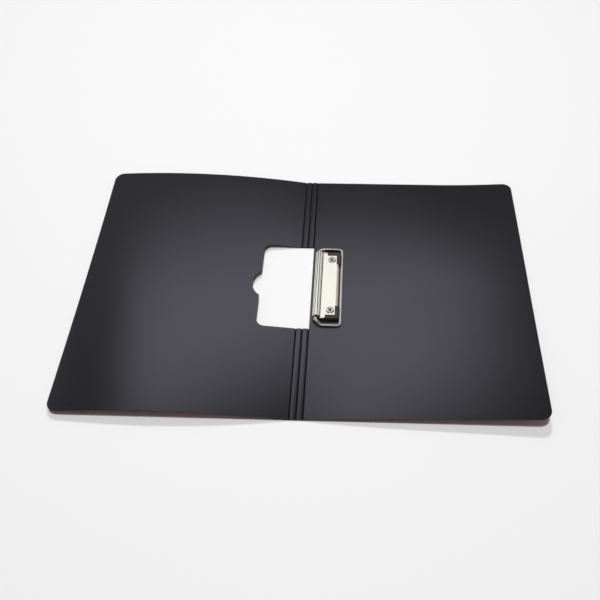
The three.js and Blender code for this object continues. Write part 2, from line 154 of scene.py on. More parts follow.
# white for the camera, walls and a darker roof for shiny faces, an even fill for the rest
def addWorld():
    world = bpy.data.worlds.new("studio")
    shot.world = world
    world.use_nodes = True
    nodes, links = world.node_tree.nodes, world.node_tree.links
    nodes.clear()
    out = nodes.new("ShaderNodeOutputWorld")
    seen = addBackground(nodes, white, worldSet["background"])
    fill = addBackground(nodes, white, worldSet["fill"])
    walls = addBackground(nodes, warmWhite)
    coords = nodes.new("ShaderNodeTexCoord")
    parts = nodes.new("ShaderNodeSeparateXYZ")
    sideways = addMath(nodes, "ABSOLUTE")
    height = addMath(nodes, "MULTIPLY_ADD")
    height.inputs[1].default_value = -worldSet["wallRise"]
    fade = nodes.new("ShaderNodeMapRange")
    fade.interpolation_type = "SMOOTHSTEP"
    fade.inputs["From Min"].default_value = worldSet["roofStart"]
    fade.inputs["From Max"].default_value = worldSet["wallTop"]
    fade.inputs["To Min"].default_value = worldSet["roof"]
    fade.inputs["To Max"].default_value = worldSet["walls"]
    path = nodes.new("ShaderNodeLightPath")
    mirrored = nodes.new("ShaderNodeMixShader")
    mix = nodes.new("ShaderNodeMixShader")
    links.new(coords.outputs["Generated"], parts.inputs[0])
    links.new(parts.outputs["X"], sideways.inputs[0])
    links.new(sideways.outputs[0], height.inputs[0])
    links.new(parts.outputs["Z"], height.inputs[2])
    links.new(height.outputs[0], fade.inputs["Value"])
    links.new(fade.outputs["Result"], walls.inputs["Strength"])
    links.new(path.outputs["Is Glossy Ray"], mirrored.inputs["Fac"])
    links.new(fill.outputs[0], mirrored.inputs[1])
    links.new(walls.outputs[0], mirrored.inputs[2])
    links.new(path.outputs["Is Camera Ray"], mix.inputs["Fac"])
    links.new(mirrored.outputs[0], mix.inputs[1])
    links.new(seen.outputs[0], mix.inputs[2])
    links.new(mix.outputs[0], out.inputs["Surface"])


shot.view_settings.view_transform = "Standard"
addCamera()
addWorld()
for lampName, chosen in lampSet.items():
    addAreaLight(lampName, chosen)
print("camera and lights are set")


# Shared effects for the materials

def newGroup(name, inputs, outputs):
    group = bpy.data.node_groups.new(name, "ShaderNodeTree")
    for label, kind, value in inputs:
        socket = group.interface.new_socket(label, in_out="INPUT", socket_type=kind)
        socket.default_value = value
    for label, kind in outputs:
        group.interface.new_socket(label, in_out="OUTPUT", socket_type=kind)
    start = group.nodes.new("NodeGroupInput")
    end = group.nodes.new("NodeGroupOutput")
    return group, group.nodes, group.links, start, end


grainSet = {"speckleDetail": 4, "speckleRoughness": 0.65, "speckleScale": 2.3}


# fine moulded grain: a height for bump and a mask for roughness
def makeFineGrain():
    group, nodes, links, start, end = newGroup(
        "fineGrain",
        [("Scale", "NodeSocketFloat", 1500.0), ("Softness", "NodeSocketFloat", 0.5)],
        [("Height", "NodeSocketFloat"), ("Mask", "NodeSocketFloat")])
    coords = nodes.new("ShaderNodeTexCoord")
    cells = nodes.new("ShaderNodeTexVoronoi")
    cells.feature = "SMOOTH_F1"
    speckle = nodes.new("ShaderNodeTexNoise")
    speckle.inputs["Detail"].default_value = grainSet["speckleDetail"]
    speckle.inputs["Roughness"].default_value = grainSet["speckleRoughness"]
    finer = addMath(nodes, "MULTIPLY")
    finer.inputs[1].default_value = grainSet["speckleScale"]
    mix = nodes.new("ShaderNodeMix")
    links.new(coords.outputs["Object"], cells.inputs["Vector"])
    links.new(coords.outputs["Object"], speckle.inputs["Vector"])
    links.new(start.outputs["Scale"], cells.inputs["Scale"])
    links.new(start.outputs["Scale"], finer.inputs[0])
    links.new(finer.outputs[0], speckle.inputs["Scale"])
    links.new(start.outputs["Softness"], mix.inputs["Factor"])
    links.new(cells.outputs["Distance"], mix.inputs["A"])
    links.new(speckle.outputs["Fac"], mix.inputs["B"])
    links.new(mix.outputs["Result"], end.inputs["Height"])
    links.new(speckle.outputs["Fac"], end.inputs["Mask"])
    return group


rubSet = {"streakDetail": 3, "patchScale": 14.0, "patchDetail": 2, "faintest": 0.56, "strongest": 0.72}


# long faint rubs from handling, as a mask
def makeRubs():
    group, nodes, links, start, end = newGroup(
        "handlingRubs",
        [("Length", "NodeSocketFloat", 6.0), ("Width", "NodeSocketFloat", 300.0),
         ("Amount", "NodeSocketFloat", 0.5)],
        [("Mask", "NodeSocketFloat")])
    coords = nodes.new("ShaderNodeTexCoord")
    stretch = nodes.new("ShaderNodeCombineXYZ")
    scaled = nodes.new("ShaderNodeVectorMath")
    scaled.operation = "MULTIPLY"
    streaks = nodes.new("ShaderNodeTexNoise")
    streaks.inputs["Scale"].default_value = 1.0
    streaks.inputs["Detail"].default_value = rubSet["streakDetail"]
    patches = nodes.new("ShaderNodeTexNoise")
    patches.inputs["Scale"].default_value = rubSet["patchScale"]
    patches.inputs["Detail"].default_value = rubSet["patchDetail"]
    sharpen = nodes.new("ShaderNodeMapRange")
    sharpen.inputs["From Min"].default_value = rubSet["faintest"]
    sharpen.inputs["From Max"].default_value = rubSet["strongest"]
    both = addMath(nodes, "MULTIPLY")
    amount = addMath(nodes, "MULTIPLY")
    links.new(start.outputs["Length"], stretch.inputs["X"])
    links.new(start.outputs["Width"], stretch.inputs["Y"])
    links.new(start.outputs["Width"], stretch.inputs["Z"])
    links.new(coords.outputs["Object"], scaled.inputs[0])
    links.new(stretch.outputs[0], scaled.inputs[1])
    links.new(scaled.outputs[0], streaks.inputs["Vector"])
    links.new(coords.outputs["Object"], patches.inputs["Vector"])
    links.new(streaks.outputs["Fac"], sharpen.inputs["Value"])
    links.new(sharpen.outputs["Result"], both.inputs[0])
    links.new(patches.outputs["Fac"], both.inputs[1])
    links.new(both.outputs[0], amount.inputs[0])
    links.new(start.outputs["Amount"], amount.inputs[1])
    links.new(amount.outputs[0], end.inputs["Mask"])
    return group


driftSet = {"detail": 3}


# slow change of tone across a surface, between two colours
def makeToneDrift():
    group, nodes, links, start, end = newGroup(
        "toneDrift",
        [("Light", "NodeSocketColor", (1, 1, 1, 1)), ("Dark", "NodeSocketColor", (0, 0, 0, 1)),
         ("Scale", "NodeSocketFloat", 8.0)],
        [("Color", "NodeSocketColor")])
    coords = nodes.new("ShaderNodeTexCoord")
    drift = nodes.new("ShaderNodeTexNoise")
    drift.inputs["Detail"].default_value = driftSet["detail"]
    mix = nodes.new("ShaderNodeMix")
    mix.data_type = "RGBA"
    links.new(coords.outputs["Object"], drift.inputs["Vector"])
    links.new(start.outputs["Scale"], drift.inputs["Scale"])
    links.new(drift.outputs["Fac"], mix.inputs["Factor"])
    links.new(start.outputs["Dark"], mix.inputs[6])
    links.new(start.outputs["Light"], mix.inputs[7])
    links.new(mix.outputs[2], end.inputs["Color"])
    return group


fineGrain = makeFineGrain()
handlingRubs = makeRubs()
toneDrift = makeToneDrift()


def newMaterial(name):
    material = bpy.data.materials.new(name)
    material.use_nodes = True
    tree = material.node_tree
    shader = tree.nodes["Principled BSDF"]
    return material, tree.nodes, tree.links, shader


def addGroup(nodes, group, **values):
    node = nodes.new("ShaderNodeGroup")
    node.node_tree = group
    for label, value in values.items():
        node.inputs[label].default_value = value
    return node


# roughness that moves between two values with a mask
def roughnessFrom(nodes, links, mask, spread, shader):
    blend = nodes.new("ShaderNodeMapRange")
    blend.inputs["To Min"].default_value, blend.inputs["To Max"].default_value = spread
    links.new(mask, blend.inputs["Value"])
    links.new(blend.outputs["Result"], shader.inputs["Roughness"])


# bump is its strength and its depth in metres
def bumpFrom(nodes, links, height, bump, shader):
    node = nodes.new("ShaderNodeBump")
    node.inputs["Strength"].default_value, node.inputs["Distance"].default_value = bump
    links.new(height, node.inputs["Height"])
    links.new(node.outputs["Normal"], shader.inputs["Normal"])


sheetFinish = {
    "inner": {"Light": (0.0085, 0.0080, 0.0090, 1), "Dark": (0.0060, 0.0057, 0.0063, 1), "Scale": 9.0},
    "outer": {"Light": (0.280, 0.010, 0.030, 1), "Dark": (0.220, 0.007, 0.024, 1), "Scale": 9.0},
    "rubbed": (0.075, 0.075, 0.082, 1),
    "rubs": {"Length": 9.0, "Width": 420.0, "Amount": 0.06},
    "grain": {"Scale": 1300.0, "Softness": 0.6},
    "bump": (0.35, 0.07 * mm),
    "roughness": (0.21, 0.30),
    "ior": 1.5,
    "specular": 1.0,
    "cutAndCreaseShadeSpecular": 0.12,           # die-cut edges are matt; on crease walls and webs this low sheen is painted shade, partly also the matt of a scored crease
    # the blue tint on the sheen is painted light: it stands for the blue of the lamp that makes the sheen
    "paintedBlueLampTint": (0.84, 0.82, 1.0, 1),
}


def makeSheetMaterial(name, tones, specular):
    material, nodes, links, shader = newMaterial(name)
    tone = addGroup(nodes, toneDrift, **tones)
    grain = addGroup(nodes, fineGrain, **sheetFinish["grain"])
    rubs = addGroup(nodes, handlingRubs, **sheetFinish["rubs"])
    worn = nodes.new("ShaderNodeMix")
    worn.data_type = "RGBA"
    worn.inputs[7].default_value = sheetFinish["rubbed"]
    links.new(rubs.outputs["Mask"], worn.inputs["Factor"])
    links.new(tone.outputs["Color"], worn.inputs[6])
    links.new(worn.outputs[2], shader.inputs["Base Color"])
    roughnessFrom(nodes, links, grain.outputs["Mask"], sheetFinish["roughness"], shader)
    bumpFrom(nodes, links, grain.outputs["Height"], sheetFinish["bump"], shader)
    shader.inputs["IOR"].default_value = sheetFinish["ior"]
    shader.inputs["Specular IOR Level"].default_value = specular
    shader.inputs["Specular Tint"].default_value = sheetFinish["paintedBlueLampTint"]
    return material


nickelFinish = {
    "tones": {"Light": (0.68, 0.66, 0.615, 1), "Dark": (0.62, 0.60, 0.55, 1), "Scale": 60.0},
    "rubs": {"Length": 2600.0, "Width": 45.0, "Amount": 1.0},
    "roughness": (0.08, 0.17),
    "bump": (0.05, 0.02 * mm),
}

springFinish = {
    "tones": {"Light": (0.46, 0.45, 0.43, 1), "Dark": (0.25, 0.24, 0.22, 1), "Scale": 700.0},
    "rubs": {"Length": 3000.0, "Width": 300.0, "Amount": 1.0},
    "roughness": (0.28, 0.5),
    "bump": (0.2, 0.1 * mm),
}


# a bare metal, whose rubs drive both its roughness and its bump
def makeMetal(name, finish):
    material, nodes, links, shader = newMaterial(name)
    tone = addGroup(nodes, toneDrift, **finish["tones"])
    rubs = addGroup(nodes, handlingRubs, **finish["rubs"])
    links.new(tone.outputs["Color"], shader.inputs["Base Color"])
    shader.inputs["Metallic"].default_value = 1.0
    roughnessFrom(nodes, links, rubs.outputs["Mask"], finish["roughness"], shader)
    bumpFrom(nodes, links, rubs.outputs["Mask"], finish["bump"], shader)
    return material


rubberFinish = {
    "tones": {"Light": (0.060, 0.047, 0.041, 1), "Dark": (0.030, 0.024, 0.021, 1), "Scale": 380.0},
    "grain": {"Scale": 2600.0, "Softness": 0.5},
    "roughness": (0.55, 0.78),
    "bump": (0.5, 0.08 * mm),
}


def makeRubber():
    material, nodes, links, shader = newMaterial("gripRubber")
    tone = addGroup(nodes, toneDrift, **rubberFinish["tones"])
    grain = addGroup(nodes, fineGrain, **rubberFinish["grain"])
    links.new(tone.outputs["Color"], shader.inputs["Base Color"])
    roughnessFrom(nodes, links, grain.outputs["Mask"], rubberFinish["roughness"], shader)
    bumpFrom(nodes, links, grain.outputs["Height"], rubberFinish["bump"], shader)
    return material


sheetInside = makeSheetMaterial("sheetBlackInside", sheetFinish["inner"], sheetFinish["specular"])
sheetOutside = makeSheetMaterial("sheetRedOutside", sheetFinish["outer"], sheetFinish["specular"])
# the low-sheen material: matt on die-cut edges, painted shade on crease walls and webs
sheetCutAndCreaseShade = makeSheetMaterial("sheetCutEdgeAndCreaseShade", sheetFinish["inner"], sheetFinish["cutAndCreaseShadeSpecular"])
nickelPlate = makeMetal("nickelPlate", nickelFinish)
springSteel = makeMetal("springSteel", springFinish)
gripRubber = makeRubber()
print("materials are made")


# Small tools for modelling

def deselectAll():
    for thing in shot.objects:
        thing.select_set(False)


def pick(thing):
    deselectAll()
    thing.select_set(True)
    bpy.context.view_layer.objects.active = thing


def settle(thing):
    pick(thing)
    bpy.ops.object.transform_apply(location=True, rotation=True, scale=True)
    return thing


def addSlab(name, x0, x1, y0, y1, z0, z1):
    deselectAll()
    bpy.ops.mesh.primitive_cube_add(size=1, location=((x0 + x1) / 2, (y0 + y1) / 2, (z0 + z1) / 2),
                                    scale=(abs(x1 - x0), abs(y1 - y0), abs(z1 - z0)))
    slab = bpy.context.active_object
    slab.name = name
    return settle(slab)


def addPost(name, radius, x, y, z0, z1, sides=64):
    deselectAll()
    bpy.ops.mesh.primitive_cylinder_add(vertices=sides, radius=radius, depth=z1 - z0,
                                        location=(x, y, (z0 + z1) / 2))
    post = bpy.context.active_object
    post.name = name
    return settle(post)


# selects what passes a test in edit mode: kind is verts, edges or faces, and the test reads its middle
def selectWhere(thing, kind, test):
    mesh = bmesh.from_edit_mesh(thing.data)
    bpy.ops.mesh.select_all(action="DESELECT")
    bpy.ops.mesh.select_mode(type={"verts": "VERT", "edges": "EDGE", "faces": "FACE"}[kind])
    for item in getattr(mesh, kind):
        if kind == "verts":
            middle = item.co
        elif kind == "edges":
            middle = (item.verts[0].co + item.verts[1].co) / 2
        else:
            middle = item.calc_center_median()
        item.select_set(bool(test(middle, item)))
    mesh.select_flush_mode()
    bmesh.update_edit_mesh(thing.data)


def editOn(thing):
    pick(thing)
    bpy.ops.object.mode_set(mode="EDIT")


def editOff():
    bpy.ops.object.mode_set(mode="OBJECT")


# cuts through all that is in edit mode, at a point and square to a direction
def sliceAt(point, direction):
    bpy.ops.mesh.select_all(action="SELECT")
    bpy.ops.mesh.bisect(plane_co=point, plane_no=direction)


def applyModifier(thing, kind, **values):
    pick(thing)
    modifier = thing.modifiers.new(kind.lower(), kind)
    for label, value in values.items():
        setattr(modifier, label, value)
    bpy.ops.object.modifier_apply(modifier=modifier.name)


def combine(thing, other, operation):
    applyModifier(thing, "BOOLEAN", object=other, operation=operation, solver="EXACT")
    bpy.data.objects.remove(other, do_unlink=True)


def cutAway(thing, cutter):
    combine(thing, cutter, "DIFFERENCE")


def joinOn(thing, other):
    combine(thing, other, "UNION")


def softenEdges(thing, width, segments=2, angle=35):
    applyModifier(thing, "BEVEL", width=width, segments=segments, limit_method="ANGLE",
                  angle_limit=radians(angle), harden_normals=False, miter_outer="MITER_ARC")


largeFaceWeight = 80


# smooth shading whose large flat faces stay flat
def smoothByAngle(thing, angle):
    pick(thing)
    bpy.ops.object.shade_smooth_by_angle(angle=radians(angle))
    applyModifier(thing, "WEIGHTED_NORMAL", keep_sharp=True, weight=largeFaceWeight)


def setMaterials(thing, *materials):
    thing.data.materials.clear()
    for material in materials:
        thing.data.materials.append(material)


# the body that it moves with and the solids that it stands for, which are hidden
def claimPiece(thing, body, slot, *nodes):
    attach(thing, body)
    if nodes:
        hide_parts(*nodes)


def finishPiece(thing, body, slot, material, *nodes):
    setMaterials(thing, material)
    claimPiece(thing, body, slot, *nodes)


# The sheet: covers that lie slightly bowed, as the photo shows them

sheetSet = {
    "thick": 1.0 * mm,
    "crease": 6.4 * mm,            # from the middle of the spine to each outer crease
    "grooveRoot": 0.3 * mm,
    "grooveMouth": 1.5 * mm,
    "cornerRadius": 10 * mm,
    "edgeSoftness": 0.16 * mm,
    "windowHalf": 53.6 * mm,
    "windowReach": 39.7 * mm,
    "windowCorner": 8.5 * mm,
    "notchRadius": 18.7 * mm,
    "notchDepth": 8.3 * mm,
    "notchOverlap": 0.5 * mm,
    "notchSides": 96,
    "cutterReach": 10 * mm,        # how far the cutters stand past the sheet
    "cornerSteps": 10,
    "stepsAcross": 26,
    "stepsAlong": 30,
    "cutSlope": 0.9,               # faces whose normal is less upright than this are cut edges and crease walls, and get the low-sheen material
}

# in mm at each row of the front cover: how high it is, how fast it falls off, where it peaks
frontBow = {"far": (12.5, 27.0, 0.68), "near": (10.2, 30.3, 0.58), "middle": (9.0, 25.0, 0.60)}

backBow = {
    "far": (4.0, 0.6, 2),          # mm at the outer edge, where it starts to rise, how it curves
    "middle": (8.0, 0.17, 1.4),
    "near": (24, -24, 13),         # mm for u, u squared and u cubed
    "flatHalf": 0.37,              # up to this v it follows its middle row, beside the crease
    "flatEnd": 0.5,                # the u at which that ends, and over how much of u it fades
    "flatFade": 0.3,
    "reachCurve": 1.25,
}

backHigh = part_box("back_cover")[1]
halfHeight = backHigh.y
outerEdge = backHigh.x
coverWidth = outerEdge - sheetSet["crease"]


def clamped(value):
    return max(0.0, min(1.0, value))


def hump(u, height, fall, peak):
    return height - fall * (u - peak) ** 2


def ramp(u, height, start, power):
    return height * clamped((u - start) / (1 - start)) ** power


# how far the front cover stands off the table: u runs from its crease to its outer edge,
# and v from -1 at its near edge to 1 at its far edge
def frontLift(u, v):
    far, near, middle = (hump(u, *frontBow[row]) for row in ("far", "near", "middle"))
    curve = (far + near) / 2 - middle
    lift = middle + (far - near) / 2 * v + curve * v * v
    return max(0.0, lift) * mm


# the back cover stays flat under the clip and rises towards its near outer corner
def backLift(u, v):
    first, second, third = backBow["near"]
    near = first * u + second * u ** 2 + third * u ** 3
    far, middle = ramp(u, *backBow["far"]), ramp(u, *backBow["middle"])
    flat = backBow["flatHalf"] * clamped((backBow["flatEnd"] - u) / backBow["flatFade"])
    reach = clamped((abs(v) - flat) / (1 - flat)) ** backBow["reachCurve"]
    return (middle + ((near if v < 0 else far) - middle) * reach) * mm


# a flat cover with round outer corners and a slanted wall at its crease
def addCover(name, side):
    crease, outer = side * sheetSet["crease"], side * outerEdge
    low, high = min(crease, outer), max(crease, outer)
    cover = addSlab(name, low, high, -halfHeight, halfHeight, 0, sheetSet["thick"])
    editOn(cover)
    selectWhere(cover, "edges", lambda p, e: meets(p.x, outer) and meets(abs(p.y), halfHeight))
    bpy.ops.mesh.bevel(offset=sheetSet["cornerRadius"], segments=sheetSet["cornerSteps"], affect="EDGES")
    selectWhere(cover, "verts", lambda p, v: meets(p.x, crease) and p.z > sheetSet["thick"] / 2)
    bpy.ops.transform.translate(value=(side * sheetSet["grooveMouth"] / 2, 0, 0))
    selectWhere(cover, "verts", lambda p, v: meets(p.x, crease))
    bpy.ops.transform.translate(value=(side * sheetSet["grooveRoot"] / 2, 0, 0))
    editOff()
    return cover


# the window, and the thumb notch in its outer edge
def cutWindow(cover):
    edge = -sheetSet["crease"] - sheetSet["windowReach"]
    half, past = sheetSet["windowHalf"], sheetSet["cutterReach"]
    cutter = addSlab("windowCutter", edge, 2 * past, -half, half, -past, past)
    editOn(cutter)
    selectWhere(cutter, "edges", lambda p, e: meets(p.x, edge) and meets(abs(p.y), half))
    bpy.ops.mesh.bevel(offset=sheetSet["windowCorner"], segments=sheetSet["cornerSteps"], affect="EDGES")
    editOff()
    cutAway(cover, cutter)
    centre = edge - sheetSet["notchDepth"] + sheetSet["notchRadius"]
    notch = addPost("notchCutter", sheetSet["notchRadius"], centre, 0, -past, past,
                    sides=sheetSet["notchSides"])
    editOn(notch)
    bpy.ops.mesh.select_all(action="SELECT")
    bpy.ops.mesh.bisect(plane_co=(edge + sheetSet["notchOverlap"], 0, 0), plane_no=(1, 0, 0),
                        clear_outer=True, use_fill=True)
    editOff()
    cutAway(cover, notch)


# cuts a flat cover into a grid, so that it can bow
def sliceCover(cover, side):
    across, along = sheetSet["stepsAcross"], sheetSet["stepsAlong"]
    editOn(cover)
    for i in range(1, across):
        sliceAt((side * (sheetSet["crease"] + coverWidth * i / across), 0, 0), (1, 0, 0))
    for i in range(1, along):
        sliceAt((0, halfHeight * (2 * i / along - 1), 0), (0, 1, 0))
    editOff()


def bowCover(cover, side, lift):
    for vertex in cover.data.vertices:
        u = clamped((side * vertex.co.x - sheetSet["crease"]) / coverWidth)
        v = vertex.co.y / halfHeight
        vertex.co.z += lift(u, v)


sheetSlots = {"inside": 0, "outside": 1, "cut": 2}


# black on the inner face, red on the outer face, matt black on the cut edges, and painted shade on the
# crease walls: matt black with its sheen turned down
def paintSheet(piece, top="inside"):
    setMaterials(piece, sheetInside, sheetOutside, sheetCutAndCreaseShade)
    for face in piece.data.polygons:
        if abs(face.normal.z) < sheetSet["cutSlope"]:
            kind = "cut"
        else:
            kind = "outside" if face.normal.z < 0 else top
        face.material_index = sheetSlots[kind]


def dressSheet(piece, body, *nodes):
    smoothByAngle(piece, angle=30)
    paintSheet(piece)
    claimPiece(piece, body, "sheet", *nodes)


frontCover = addCover("frontCover", -1)
cutWindow(frontCover)
softenEdges(frontCover, sheetSet["edgeSoftness"])
sliceCover(frontCover, -1)
bowCover(frontCover, -1, frontLift)
dressSheet(frontCover, "front", "front_cover")
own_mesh(frontCover)

backCover = addCover("backCover", 1)
softenEdges(backCover, sheetSet["edgeSoftness"])
sliceCover(backCover, 1)
bowCover(backCover, 1, backLift)
dressSheet(backCover, "back", "back_cover")
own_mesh(backCover)
print("covers are bowed and dressed")


# The spine: two crowned strips between three creases, and a thin web at each crease

spineSet = {
    "crown": 0.45 * mm,
    "crownSteps": 8,
    "webThick": 0.28 * mm,
    "webWidth": 0.9 * mm,
    "webSteps": 8,
}


# the window cuts the spine into a far and a near length
def spineLength(far):
    return (sheetSet["windowHalf"], halfHeight) if far else (-halfHeight, -sheetSet["windowHalf"])


def addSpineStrip(name, x0, x1, far):
    root, mouth = sheetSet["grooveRoot"] / 2, sheetSet["grooveMouth"] / 2
    steps = spineSet["crownSteps"]
    strip = addSlab(name, x0 + root, x1 - root, *spineLength(far), 0, sheetSet["thick"])
    editOn(strip)
    for edge, push in ((x0 + root, mouth), (x1 - root, -mouth)):
        selectWhere(strip, "verts", lambda p, v: meets(p.x, edge) and p.z > sheetSet["thick"] / 2)
        bpy.ops.transform.translate(value=(push, 0, 0))
    for i in range(1, steps):
        sliceAt((x0 + root + (x1 - x0 - 2 * root) * i / steps, 0, 0), (1, 0, 0))
    editOff()
    softenEdges(strip, sheetSet["edgeSoftness"])
    middle, half = (x0 + x1) / 2, (x1 - x0) / 2
    for vertex in strip.data.vertices:
        across = (vertex.co.x - middle) / half
        vertex.co.z += spineSet["crown"] * max(0.0, 1 - across * across)
    return strip


def addCreaseWeb(name, x, far):
    half, steps = spineSet["webWidth"] / 2, spineSet["webSteps"]
    web = addSlab(name, x - half, x + half, *spineLength(far), 0, spineSet["webThick"])
    editOn(web)
    for i in range(1, steps):
        sliceAt((x - half + 2 * half * i / steps, 0, 0), (1, 0, 0))
    editOff()
    smoothByAngle(web, angle=60)
    # the web's top takes the low-sheen material: painted shade at the bottom of each crease
    paintSheet(web, top="cut")
    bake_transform(web)


for end, far in (("far", True), ("near", False)):
    crease = sheetSet["crease"]
    dressSheet(addSpineStrip("spineBack." + end, 0, crease, far), "spine_back", "spine_back_" + end)
    dressSheet(addSpineStrip("spineFront." + end, -crease, 0, far), "spine_front", "spine_front_" + end)
    addCreaseWeb("backWeb." + end, crease, far)
    addCreaseWeb("middleWeb." + end, 0, far)
    addCreaseWeb("frontWeb." + end, -crease, far)
print("spine is made")


# Jaw: one strip rolled into a barrel, run flat and bent down to a lip

jawSet = {
    "thick": 0.8 * mm,
    "barrelRadius": 3.7 * mm,
    "freeEdge": 8,                 # degrees round the barrel
    "rollOff": 310,
    "fieldDrop": 0.8 * mm,
    "fillet": 1.6 * mm,
    "fieldReach": 19 * mm,
    "lipAngle": 55,
    "lipBend": 1.2 * mm,
    "lipGap": 0.3 * mm,
    "arcStep": 5,
    "edgeSoftness": 0.13 * mm,
    "slotBefore": 3.4 * mm,        # slots under the barrel, measured from its axis
    "slotAfter": 1.75 * mm,
    "slotTop": 1.3 * mm,
    "lugPlace": 28 * mm,
    "lugSlotHalf": 0.7 * mm,
    "springSlot": (-7.85 * mm, -6.55 * mm),
    "cutterReach": 2 * mm,         # how far the corner cutters stand past the jaw
}

jawLow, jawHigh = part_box("clip_jaw")
axis = {"x": jawLow.x + jawSet["barrelRadius"], "z": jawHigh.z - jawSet["barrelRadius"]}
coverTop = sheetSet["thick"]


# points along an arc in x and z, from one angle in degrees to another
def arc(cx, cz, radius, start, end):
    steps = max(2, round(abs(end - start) / jawSet["arcStep"]))
    angles = [radians(start + (end - start) * i / steps) for i in range(steps + 1)]
    return [(cx + radius * cos(a), cz + radius * sin(a)) for a in angles]


# from the barrel's free edge round the pin, along the field and down to the lip
def jawRoute():
    roll = jawSet["barrelRadius"] - jawSet["thick"] / 2
    level = axis["z"] - jawSet["fieldDrop"]
    route = arc(axis["x"], axis["z"], roll, jawSet["freeEdge"], jawSet["rollOff"])
    rise = radians(jawSet["rollOff"] - 270)
    fillet = jawSet["fillet"]
    run = (level - fillet * (1 - cos(rise)) - route[-1][1]) / tan(rise)
    route += arc(route[-1][0] + run + fillet * sin(rise), level - fillet, fillet, 90 + degrees(rise), 90)
    edge = axis["x"] + jawSet["fieldReach"]
    route += arc(edge, level - jawSet["lipBend"], jawSet["lipBend"], 90, 90 - jawSet["lipAngle"])
    lip = radians(jawSet["lipAngle"])
    tip = coverTop + jawSet["lipGap"] + jawSet["thick"] / 2 * cos(lip)
    route.append((route[-1][0] + (route[-1][1] - tip) / tan(lip), tip))
    return route


# a sheet along a route of x and z points, one extrude for each stretch
def addStrip(name, route, low, high):
    (xa, za), (xb, zb) = route[0], route[1]
    deselectAll()
    bpy.ops.mesh.primitive_plane_add(size=1, location=((xa + xb) / 2, (low + high) / 2, za))
    strip = bpy.context.active_object
    strip.scale = (abs(xb - xa), high - low, 1)
    settle(strip)
    strip.name = name
    ahead = 1 if xb > xa else -1
    editOn(strip)
    selectWhere(strip, "verts", lambda p, v: ahead * (p.x - (xa + xb) / 2) > 0)
    bpy.ops.transform.translate(value=(0, 0, zb - za))
    for (xa, za), (xb, zb) in zip(route[1:], route[2:]):
        bpy.ops.mesh.extrude_region_move(TRANSFORM_OT_translate={"value": (xb - xa, 0, zb - za)})
    bpy.ops.mesh.select_all(action="SELECT")
    bpy.ops.mesh.normals_make_consistent(inside=False)
    editOff()
    return strip


# Rubber corners

gripSet = {
    "armLength": 13.3 * mm,
    "armWidth": 4.0 * mm,
    "limbLength": 15.5 * mm,
    "limbWidth": 3.6 * mm,
    "corner": 1.5 * mm,
    "cornerSteps": 8,
    "footGap": 0.3 * mm,           # over the cover
    "tongue": 1.5 * mm,
    "tongueInset": 1.4 * mm,
    "tongueRoot": 0.5 * mm,        # how far the tongue runs into the arm and the limb
    "edgeSoftness": 0.24 * mm,
    "seam": 0.06 * mm,
    "rivetHole": 2.1 * mm,
    "rivetCutTop": 8 * mm,         # above the jaw
}

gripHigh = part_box("grip_far")[1]
fieldTop = axis["z"] - jawSet["fieldDrop"] + jawSet["thick"] / 2
fieldBottom = fieldTop - jawSet["thick"]
armInner = gripHigh.y - gripSet["armWidth"]
limbInner = gripHigh.y - gripSet["limbLength"]
limbStart = gripHigh.x - gripSet["limbWidth"]
armStart = gripHigh.x - gripSet["armLength"]
rivetPlace = ((armStart + limbStart) / 2, (limbInner + armInner) / 2)


def cutRivetHole(thing, side):
    cutAway(thing, addPost("rivetCut", gripSet["rivetHole"], rivetPlace[0], side * rivetPlace[1],
                           0, gripSet["rivetCutTop"]))


# lets a lug of the base or the spring's leg into the barrel from below
def cutBarrelSlot(jaw, y0, y1):
    cutAway(jaw, addSlab("slotCut", axis["x"] - jawSet["slotBefore"], axis["x"] + jawSet["slotAfter"],
                         y0, y1, 0, axis["z"] - jawSet["slotTop"]))


def addJaw():
    half = jawHigh.y
    jaw = addStrip("clipJaw", jawRoute(), -half, half)
    applyModifier(jaw, "SOLIDIFY", thickness=jawSet["thick"], offset=0, use_even_offset=True)
    reach, seam = gripHigh.x + jawSet["cutterReach"], gripSet["seam"]
    for side in (-1, 1):
        far = side * (half + jawSet["cutterReach"])
        lug, lugHalf = side * jawSet["lugPlace"], jawSet["lugSlotHalf"]
        arm, limb = side * (armInner - seam), side * (limbInner - seam)
        cutAway(jaw, addSlab("armCut", armStart - seam, reach, arm, far, 0, axis["z"]))
        cutAway(jaw, addSlab("limbCut", limbStart - seam, reach, limb, far, 0, axis["z"]))
        cutRivetHole(jaw, side)
        cutBarrelSlot(jaw, lug - lugHalf, lug + lugHalf)
    cutBarrelSlot(jaw, *jawSet["springSlot"])
    softenEdges(jaw, jawSet["edgeSoftness"], angle=40)
    smoothByAngle(jaw, angle=32)
    finishPiece(jaw, "jaw", "nickel", nickelPlate, "clip_jaw")


